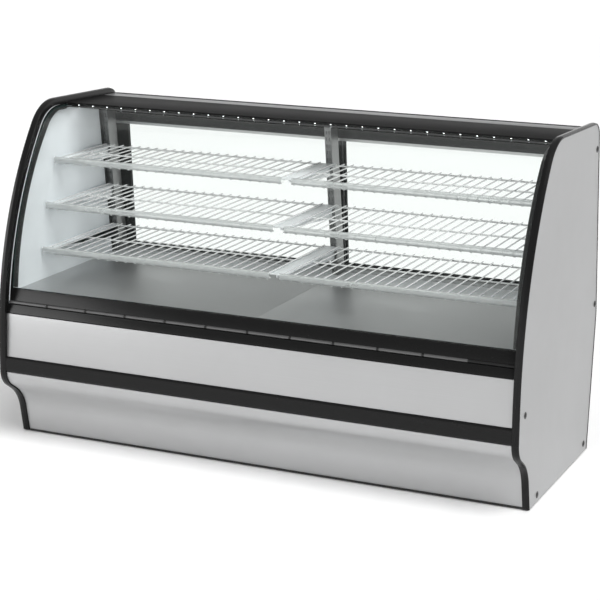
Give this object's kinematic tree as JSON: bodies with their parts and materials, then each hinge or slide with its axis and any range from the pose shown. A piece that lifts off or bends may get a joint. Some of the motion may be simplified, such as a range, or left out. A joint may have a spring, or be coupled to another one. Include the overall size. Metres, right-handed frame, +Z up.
{
  "type": "glass display showcase",
  "caption": "Curved-glass bakery display case with shaped stainless end panels, tiered wire shelves, a lit roof, tilting front glass and sliding rear doors.",
  "frame": {"origin": "centre of the footprint, on the floor", "axes": "+X along the case to the right as seen by the customer, -Y towards the customer, +Z up"},
  "size_m": [1.963, 0.896, 1.219],
  "materials": {
    "stainless": "brushed stainless sheet, fine horizontal grain",
    "black_paint": "satin to gloss black powder coat",
    "rubber": "matte black",
    "white_paint": "smooth white enamel",
    "white_plastic": "smooth pale liner sheet",
    "black_anodised": "black anodised extrusion",
    "aluminium": "clear anodised extrusion",
    "galvanised": "galvanised sheet",
    "shelf_wire": "bright plated wire",
    "clear_glass": "clear tempered, polished edges",
    "clear_plastic": "clear extruded strip",
    "lamp_lens": "frosted lens over light points",
    "black_plastic": "moulded black"
  },
  "bodies": {
    "cabinet": {"base_floor": "galvanised", "left_end_panel": "stainless", "left_end_trim": "black_paint", "left_end_liner": "white_plastic", "left_deck_pan": "white_paint", "left_bracket_1": "white_paint", "left_shelf_1": "shelf_wire", "left_ticket_strip_1": "clear_plastic", "left_bracket_2": "white_paint", "left_shelf_2": "shelf_wire", "left_ticket_strip_2": "clear_plastic", "left_bracket_3": "white_paint", "left_shelf_3": "shelf_wire", "left_ticket_strip_3": "clear_plastic", "right_end_panel": "stainless", "right_end_trim": "black_paint", "right_end_liner": "white_plastic", "right_deck_pan": "white_paint", "right_bracket_1": "white_paint", "right_shelf_1": "shelf_wire", "right_ticket_strip_1": "clear_plastic", "right_bracket_2": "white_paint", "right_shelf_2": "shelf_wire", "right_ticket_strip_2": "clear_plastic", "right_bracket_3": "white_paint", "right_shelf_3": "shelf_wire", "right_ticket_strip_3": "clear_plastic", "left_post": "aluminium", "centre_post": "aluminium", "right_post": "aluminium", "centre_bracket_1": "white_paint", "centre_bracket_2": "white_paint", "centre_bracket_3": "white_paint", "kick_strip": "rubber", "bumper_rail": "rubber", "kick_panel": "stainless", "front_panel": "stainless", "rear_panel": "stainless", "top_rear_strip": "stainless", "sill_rail": "black_paint", "top_panel": "black_paint", "rear_header": "black_paint", "deck_floor": "white_paint", "led_bar": "black_anodised", "lower_track": "aluminium", "upper_track": "aluminium", "hinge_pin": "aluminium", "led_lens": "lamp_lens"},
    "front_glass": {"curved_glass": "clear_glass", "glass_rail": "black_paint", "glass_gasket": "rubber"},
    "left_door": {"left_door_frame": "black_anodised", "left_door_glass": "clear_glass"},
    "right_door": {"right_door_frame": "black_anodised", "right_door_glass": "clear_glass"},
    "light_switch": {"switch_rocker": "black_plastic"},
    "foot_front_left": {"foot_1": "rubber"},
    "foot_front_right": {"foot_2": "rubber"},
    "foot_rear_left": {"foot_3": "rubber"},
    "foot_rear_right": {"foot_4": "rubber"}
  },
  "joints": [
    {"name": "front_glass_tilt", "type": "hinge", "parent": "cabinet", "child": "front_glass", "pos_m": [0, -0.414, 0.524], "axis": [1, 0, 0], "range_deg": [0, 30]},
    {"name": "left_door_slide", "type": "slide", "parent": "cabinet", "child": "left_door", "axis": [1, 0, 0], "range_m": [0, 0.93]},
    {"name": "right_door_slide", "type": "slide", "parent": "cabinet", "child": "right_door", "axis": [1, 0, 0], "range_m": [-0.93, 0]},
    {"name": "light_switch_rock", "type": "hinge", "parent": "cabinet", "child": "light_switch", "pos_m": [-0.88, 0.4406, 0.528], "axis": [1, 0, 0], "range_deg": [-7, 7]},
    {"name": "foot_front_left_level", "type": "slide", "parent": "cabinet", "child": "foot_front_left", "axis": [0, 0, -1], "range_m": [0, 0.02]},
    {"name": "foot_front_right_level", "type": "slide", "parent": "cabinet", "child": "foot_front_right", "axis": [0, 0, -1], "range_m": [0, 0.02]},
    {"name": "foot_rear_left_level", "type": "slide", "parent": "cabinet", "child": "foot_rear_left", "axis": [0, 0, -1], "range_m": [0, 0.02]},
    {"name": "foot_rear_right_level", "type": "slide", "parent": "cabinet", "child": "foot_rear_right", "axis": [0, 0, -1], "range_m": [0, 0.02]}
  ]
}
